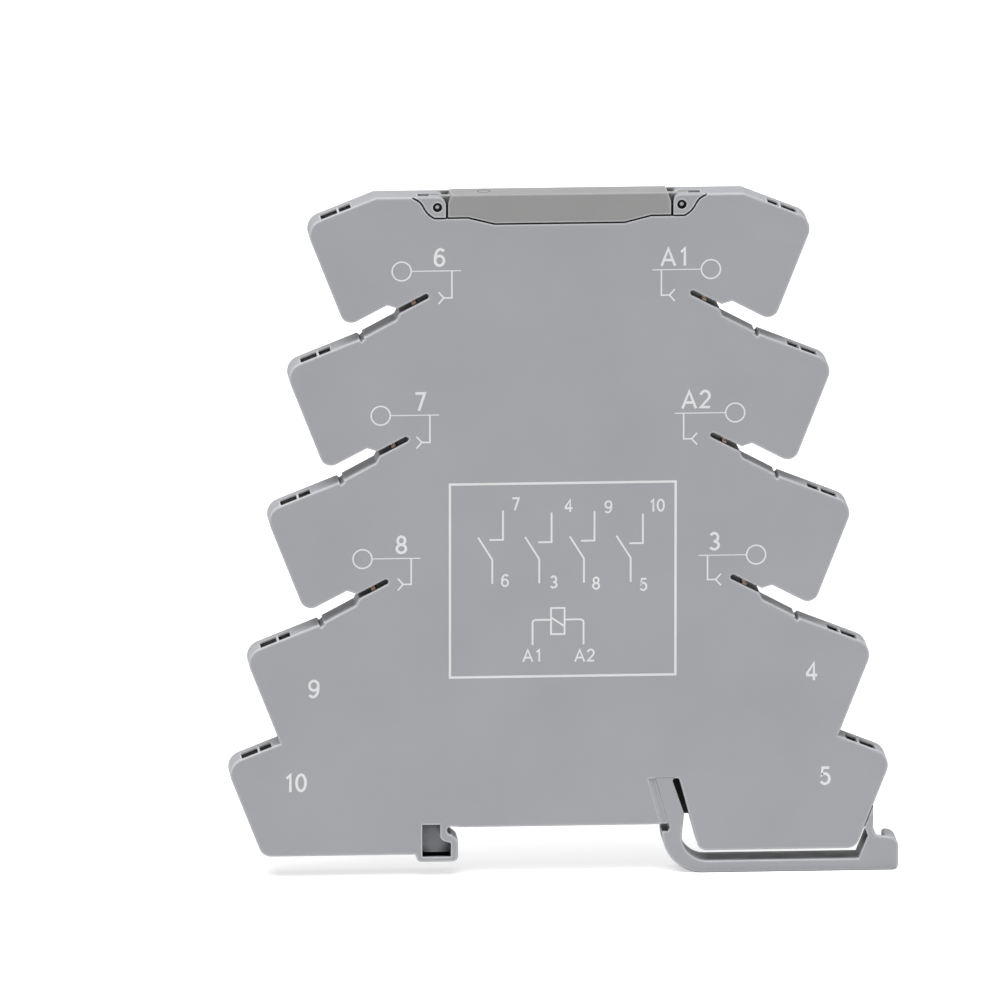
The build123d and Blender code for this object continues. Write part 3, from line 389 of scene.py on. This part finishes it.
coil_winding = finish_material(
    "coil winding",
    (0.5, 0.18, 0.06),
    (0.25, 0.4),
    metallic=1.0,
    grain=12000.0,
    stretch=(1.0, 0.05, 0.05),
    grain_strength=0.8,
    wear_and_highlight_colour=(0.7, 0.35, 0.15),
)
lamp_plastic = finish_material(
    "lamp plastic",
    (0.6, 0.63, 0.6),
    (0.1, 0.2),
    grain_strength=0.1,
    wear_and_highlight_colour=(0.8, 0.82, 0.8),
    specular=0.5,
)
ink_white = finish_material(
    "white ink",
    (0.76, 0.765, 0.77),
    (0.5, 0.7),
    grain=14000.0,
    mottle=0.05,
    wear_and_highlight_colour=(0.7, 0.7, 0.71),
)
seam_shadow = finish_material(
    "seam shadow",
    (0.09, 0.09, 0.09),
    (0.6, 0.8),
    wear_and_highlight_colour=(0.11, 0.11, 0.11),
)

SLOT_MATERIALS = {
    "housing": housing_plastic,
    "lid": lid_plastic,
    "light_guide": light_guide_plastic,
    "steel": spring_steel,
    "copper": contact_copper,
    "iron": soft_iron,
    "black_plastic": relay_plastic,
    "board": board_green,
    "winding": coil_winding,
    "lamp": lamp_plastic,
}


def dress(piece, material):
    piece.data.materials.clear()
    piece.data.materials.append(material)


for part in frame["record"]["subparts"]:
    dress(nodes[part["node"]], SLOT_MATERIALS[part["material_slot"]])
for pin_name in ("hinge_pin", "snap_pin"):
    dress(nodes[pin_name], pin_steel)
dress(nodes["rail_latch"], latch_plastic)


# Copy of the spring leaf, cut into bands along its height, in place of the CAD leaf


def flexing_leaf():
    leaf_mesh = nodes["latch_leaf"].data.copy()
    leaf_mesh.name = "leaf_mesh"
    leaf = bpy.data.objects.new("latch_leaf_flexing", leaf_mesh)
    bpy.context.scene.collection.objects.link(leaf)
    shape = bmesh.new()
    shape.from_mesh(leaf_mesh)
    for corner in shape.verts:
        if corner.co.z > (LEAF_TOP_Z - LEAF_ROOT_OVERLAP / 2) * MM:
            corner.co.z += LEAF_ROOT_OVERLAP * MM
    for band in range(1, LEAF_BANDS):
        height = LEAF_LOW_Z + (LEAF_TOP_Z - LEAF_LOW_Z) * band / LEAF_BANDS
        bmesh.ops.bisect_plane(
            shape,
            geom=shape.verts[:] + shape.edges[:] + shape.faces[:],
            plane_co=(0, 0, height * MM),
            plane_no=(0, 0, 1),
        )
    shape.to_mesh(leaf_mesh)
    shape.free()
    dress(leaf, leaf_plastic)
    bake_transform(leaf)
    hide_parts("latch_leaf")


flexing_leaf()


# Thin dark ring of painted shadow in the seam round the light guide, in the lid's top


def seam_shadow_ring():
    # A thin dark ring that paints the shadow in the gap between the light guide and the lid.
    guide_low, guide_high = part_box("light_guide")
    bpy.ops.mesh.primitive_torus_add(
        major_segments=SEAM_SEGMENTS,
        minor_segments=SEAM_SIDES,
        major_radius=(guide_high[0] - guide_low[0]) / 2,
        minor_radius=SEAM_RADIUS * MM,
        location=(
            (guide_low[0] + guide_high[0]) / 2,
            (guide_low[1] + guide_high[1]) / 2,
            guide_high[2] - SEAM_SINK * MM,
        ),
    )
    shadow_ring = bpy.context.object
    shadow_ring.name = "light_guide_seam_shadow"
    dress(shadow_ring, seam_shadow)
    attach(shadow_ring, "lid")


seam_shadow_ring()


# Print on the front face, in millimetres: X to the right, Z upwards

RING_SIDES = 48
RING_RADIUS = 1.5
RING_STROKE = 0.24
THIN_STROKE = 0.17
SYMBOL_STROKE = 0.25
DIAGRAM_STROKE = 0.29
FRAME_STROKE = 0.38
LABEL_HEIGHT = 2.95
SMALL_LABEL_HEIGHT = 2.05
LETTER_STROKE = 0.145
LETTER_GAP = 0.13
MITRE_LIMIT = 2.0
INK_LEVELS = 6
INK_LEVEL_STEP = 0.002

ink = bmesh.new()
ink_paths = []


def arc(centre, reach, start, end):
    """Points round a centre, from one angle to another in degrees."""
    steps = max(4, round(RING_SIDES * abs(end - start) / 360))
    angles = [math.radians(start + (end - start) * step / steps) for step in range(steps + 1)]
    return [
        (centre[0] + reach[0] * math.cos(angle), centre[1] + reach[1] * math.sin(angle))
        for angle in angles
    ]


def direction(start, end):
    length = math.dist(start, end)
    return Vector(((end[0] - start[0]) / length, (end[1] - start[1]) / length))


def ink_path(points, width):
    """Line of ink with mitred corners. It closes if it ends where it starts."""
    ink_paths.append(points)
    top_y = FRONT_Y - INK_THICKNESS - INK_LEVEL_STEP * (len(ink_paths) % INK_LEVELS)
    closed = math.dist(points[0], points[-1]) < width / 10
    corners = points[:-1] if closed else points
    pairs = []
    for index, point in enumerate(corners):
        before = corners[index - 1] if closed or index else None
        after = corners[(index + 1) % len(corners)] if closed or index + 1 < len(corners) else None
        arriving = direction(before, point) if before else direction(point, after)
        leaving = direction(point, after) if after else arriving
        across = Vector((-arriving.y - leaving.y, arriving.x + leaving.x)).normalized()
        spread_share = max(1 / MITRE_LIMIT, across.dot(Vector((-arriving.y, arriving.x))))
        reach = across * width / 2 / spread_share
        pairs.append(
            [
                [
                    ink.verts.new(
                        (
                            (point[0] + side * reach.x) * MM,
                            y * MM,
                            (point[1] + side * reach.y) * MM,
                        )
                    )
                    for y in (FRONT_Y, top_y)
                ]
                for side in (-1, 1)
            ]
        )
    last = len(pairs) if closed else len(pairs) - 1
    for index in range(last):
        (low_back, low_top), (high_back, high_top) = pairs[index]
        (low_back_2, low_top_2), (high_back_2, high_top_2) = pairs[(index + 1) % len(pairs)]
        ink.faces.new((low_top, low_top_2, high_top_2, high_top))
        ink.faces.new((low_back, low_back_2, low_top_2, low_top))
        ink.faces.new((high_top, high_top_2, high_back_2, high_back))


# Single-line lettering in a box one unit high: width, then the strokes
LETTERS = {
    "0": (0.62, [arc((0.31, 0.5), (0.24, 0.44), 90, 450)]),
    "1": (0.46, [[(0.13, 0.74), (0.33, 0.93), (0.33, 0.0)]]),
    "2": (0.62, [arc((0.3, 0.68), (0.23, 0.26), 170, -35) + [(0.07, 0.06), (0.56, 0.06)]]),
    "3": (
        0.6,
        [
            arc((0.28, 0.715), (0.2, 0.225), 155, -100),
            arc((0.28, 0.275), (0.235, 0.215), 100, -155),
        ],
    ),
    "4": (0.68, [[(0.46, 0.0), (0.46, 0.93), (0.07, 0.33)], [(0.04, 0.28), (0.64, 0.28)]]),
    "5": (0.62, [[(0.54, 0.94), (0.18, 0.94)] + arc((0.3, 0.34), (0.24, 0.28), 138, -150)]),
    "6": (
        0.62,
        [arc((0.31, 0.32), (0.235, 0.26), 0, 360), arc((0.36, 0.44), (0.285, 0.5), 180, 50)],
    ),
    "7": (0.6, [[(0.05, 0.94), (0.55, 0.94), (0.24, 0.0)]]),
    "8": (
        0.62,
        [arc((0.31, 0.72), (0.195, 0.22), 0, 360), arc((0.31, 0.28), (0.24, 0.22), 0, 360)],
    ),
    "9": (
        0.62,
        [arc((0.31, 0.68), (0.235, 0.26), 0, 360), arc((0.26, 0.56), (0.285, 0.5), 0, -130)],
    ),
    "A": (0.84, [[(0.06, 0.0), (0.42, 0.93), (0.78, 0.0)], [(0.2, 0.32), (0.64, 0.32)]]),
}


def ink_label(text, centre, height):
    """Lettering with this height, centred on a place on the face."""
    total = sum(LETTERS[letter][0] for letter in text) + LETTER_GAP * (len(text) - 1)
    left = centre[0] - total * height / 2
    low = centre[1] - height / 2
    for letter in text:
        width, strokes = LETTERS[letter]
        for stroke in strokes:
            points = [(left + x * height, low + z * height) for x, z in stroke]
            ink_path(points, LETTER_STROKE * height)
        left += (width + LETTER_GAP) * height


def terminal_symbol(ring, fork, side):
    """Ring with a line to the module's middle, a drop line and a fork."""
    ink_path(arc(ring, (RING_RADIUS, RING_RADIUS), 0, 360), RING_STROKE)
    bar_z = ring[1]
    fork_x, fork_z = fork
    drop_x = fork_x + side * DROP_RUN
    bar_end_x = fork_x + side * BAR_RUN
    ink_path([(ring[0] + side * RING_RADIUS, bar_z), (bar_end_x, bar_z)], THIN_STROKE)
    ink_path([(drop_x, bar_z), (drop_x, fork_z), (fork_x, fork_z)], SYMBOL_STROKE)
    prong_x = fork_x - side * FORK_RUN
    prongs = [(prong_x, fork_z + FORK_RISE), (fork_x, fork_z), (prong_x, fork_z - FORK_RISE)]
    ink_path(prongs, SYMBOL_STROKE)


# Ring symbols beside the upper three arms, and the terminals' labels
FORK_RUN = 0.85
FORK_RISE = 0.95
DROP_RUN = 1.27
BAR_RUN = 2.7
LEFT_SYMBOLS = [
    ((-24.84, 89.47), (-18.21, 85.14)),
    ((-28.15, 66.41), (-21.68, 62.04)),
    ((-31.04, 43.45), (-24.64, 39.29)),
]
RIGHT_SYMBOLS = [
    ((23.78, 89.19), (17.26, 85.11)),
    ((27.64, 66.15), (20.8, 62.03)),
    ((30.99, 43.27), (24.6, 39.36)),
]
for ring, fork in LEFT_SYMBOLS:
    terminal_symbol(ring, fork, 1)
for ring, fork in RIGHT_SYMBOLS:
    terminal_symbol(ring, fork, -1)
LABELS = {
    "6": (-18.89, 91.64),
    "7": (-21.97, 68.61),
    "8": (-24.92, 45.67),
    "9": (-38.72, 22.67),
    "10": (-41.64, 7.58),
    "A1": (17.95, 91.26),
    "A2": (21.5, 68.38),
    "3": (24.44, 45.52),
    "4": (39.79, 24.39),
    "5": (41.96, 7.47),
}
for label, centre in LABELS.items():
    ink_label(label, centre, LABEL_HEIGHT)

# Contact and coil diagram in its frame
FRAME_LEFT, FRAME_RIGHT = -17.27, 18.28
FRAME_LOW, FRAME_HIGH = 24.18, 55.21
ink_path(
    [
        (FRAME_LEFT, FRAME_HIGH),
        (FRAME_RIGHT, FRAME_HIGH),
        (FRAME_RIGHT, FRAME_LOW),
        (FRAME_LEFT, FRAME_LOW),
        (FRAME_LEFT, FRAME_HIGH),
    ],
    FRAME_STROKE,
)
# Each contact: X of its upper lead, X of its lever, height of its elbow, upper and lower label
CONTACTS = [
    (-8.91, -10.6, 46.22, ("7", -6.94, 51.97), ("6", -8.6, 39.69)),
    (-1.26, -3.2, 45.75, ("4", 1.42, 51.6), ("3", -0.9, 39.34)),
    (5.5, 3.84, 45.9, ("9", 7.69, 51.28), ("8", 5.76, 39.05)),
    (13.13, 11.2, 45.38, ("10", 15.34, 51.44), ("5", 13.21, 38.74)),
]
LEAD_LENGTH = 4.75
ELBOW_LENGTH = 2.13
LEVER_RUN = 2.25
LEVER_TOP_Z, LEVER_KNEE_Z, LEVER_LOW_Z = 46.65, 43.05, 39.15
for lead_x, lever_x, elbow_z, upper, lower in CONTACTS:
    elbow = [(lead_x, elbow_z + LEAD_LENGTH), (lead_x, elbow_z), (lead_x - ELBOW_LENGTH, elbow_z)]
    ink_path(elbow, DIAGRAM_STROKE)
    lever = [(lever_x - LEVER_RUN, LEVER_TOP_Z), (lever_x, LEVER_KNEE_Z), (lever_x, LEVER_LOW_Z)]
    ink_path(lever, DIAGRAM_STROKE)
    for text, x, z in (upper, lower):
        ink_label(text, (x, z), SMALL_LABEL_HEIGHT)
COIL_LEFT, COIL_RIGHT = -1.34, 0.79
COIL_TOP, COIL_LOW = 35.14, 30.94
LEAD_Z, LEAD_LOW_Z = 33.26, 29.24
LEAD_ROUND = 0.5
SLASH_TOP, SLASH_LOW = 33.64, 32.19
COIL_LEADS = [(1, -4.26, COIL_LEFT), (-1, 3.79, COIL_RIGHT)]
COIL_LABELS = {"A1": (-4.4, 27.58), "A2": (3.95, 27.48)}
ink_path(
    [
        (COIL_LEFT, COIL_TOP),
        (COIL_RIGHT, COIL_TOP),
        (COIL_RIGHT, COIL_LOW),
        (COIL_LEFT, COIL_LOW),
        (COIL_LEFT, COIL_TOP),
    ],
    DIAGRAM_STROKE,
)
ink_path([(COIL_LEFT, SLASH_TOP), (COIL_RIGHT, SLASH_LOW)], DIAGRAM_STROKE)
for side, lead_x, coil_x in COIL_LEADS:
    bend_centre = (lead_x + side * LEAD_ROUND, LEAD_Z - LEAD_ROUND)
    bend = arc(bend_centre, (LEAD_ROUND, LEAD_ROUND), 90, 90 + side * 90)
    ink_path([(coil_x, LEAD_Z), *bend, (lead_x, LEAD_LOW_Z)], DIAGRAM_STROKE)
for label, centre in COIL_LABELS.items():
    ink_label(label, centre, SMALL_LABEL_HEIGHT)

bmesh.ops.recalc_face_normals(ink, faces=ink.faces[:])
ink_mesh = bpy.data.meshes.new("face_print")
ink.to_mesh(ink_mesh)
ink.free()
face_print = bpy.data.objects.new("face_print", ink_mesh)
bpy.context.scene.collection.objects.link(face_print)
dress(face_print, ink_white)
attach(face_print, "housing")


# Floor, world, lamp and camera


def background_share(tree):
    """1 where the camera, a reflection or a transparent part sees the surface."""
    path = tree.nodes.new("ShaderNodeLightPath")
    total = path.outputs["Is Camera Ray"]
    for name in ("Is Glossy Ray", "Is Transmission Ray"):
        add = tree.nodes.new("ShaderNodeMath")
        add.operation = "ADD"
        add.use_clamp = True
        link(tree, total, add.inputs[0])
        link(tree, path.outputs[name], add.inputs[1])
        total = add.outputs["Value"]
    return total


def build_floor():
    bpy.ops.mesh.primitive_plane_add(size=FLOOR_SIZE, location=(0, 0, cad_low[2]))
    floor = bpy.context.object
    floor.name = "floor"
    material = bpy.data.materials.new("floor white")
    material.use_nodes = True
    tree = material.node_tree
    shader = tree.nodes["Principled BSDF"]
    shader.inputs["Base Color"].default_value = (FLOOR_TONE, FLOOR_TONE, FLOOR_TONE, 1.0)
    shader.inputs["Roughness"].default_value = FLOOR_ROUGHNESS
    shader.inputs["Emission Color"].default_value = (1.0, 1.0, 1.0, 1.0)
    lift = tree.nodes.new("ShaderNodeMath")
    lift.operation = "MULTIPLY"
    lift.inputs[1].default_value = FLOOR_LIFT
    link(tree, background_share(tree), lift.inputs[0])
    link(tree, lift.outputs["Value"], shader.inputs["Emission Strength"])
    floor.data.materials.append(material)


def build_world():
    world = bpy.data.worlds.new("studio")
    bpy.context.scene.world = world
    world.use_nodes = True
    tree = world.node_tree
    background = tree.nodes["Background"]
    background.inputs["Color"].default_value = (1.0, 1.0, 1.0, 1.0)
    strength = tree.nodes.new("ShaderNodeMapRange")
    strength.inputs["To Min"].default_value = WORLD_STRENGTH
    strength.inputs["To Max"].default_value = 1.0
    link(tree, background_share(tree), strength.inputs["Value"])
    link(tree, strength.outputs["Result"], background.inputs["Strength"])


def build_sun():
    lamp = bpy.data.lights.new("key light", "SUN")
    lamp.energy = SUN_STRENGTH
    lamp.angle = SUN_SOFTNESS
    sun = bpy.data.objects.new("key light", lamp)
    sun.rotation_mode = "QUATERNION"
    sun.rotation_quaternion = Vector(SUN_DIRECTION).to_track_quat("Z", "Y")
    bpy.context.scene.collection.objects.link(sun)


def build_camera():
    azimuth = math.radians(CAMERA_AZIMUTH)
    elevation = math.radians(CAMERA_ELEVATION)
    back = Vector(
        (
            math.sin(azimuth) * math.cos(elevation),
            -math.cos(azimuth) * math.cos(elevation),
            math.sin(elevation),
        )
    )
    data = bpy.data.cameras.new("camera")
    data.sensor_width = SENSOR_WIDTH
    data.lens = PIXELS_PER_METRE * CAMERA_DISTANCE * SENSOR_WIDTH / PICTURE_PIXELS
    camera = bpy.data.objects.new("camera", data)
    camera.location = Vector(PICTURE_CENTRE) * MM + back * CAMERA_DISTANCE
    camera.rotation_mode = "QUATERNION"
    camera.rotation_quaternion = (-back).to_track_quat("-Z", "Y")
    bpy.context.scene.collection.objects.link(camera)
    bpy.context.scene.camera = camera


build_floor()
build_world()
build_sun()
build_camera()
bpy.context.scene.view_settings.view_transform = "Standard"
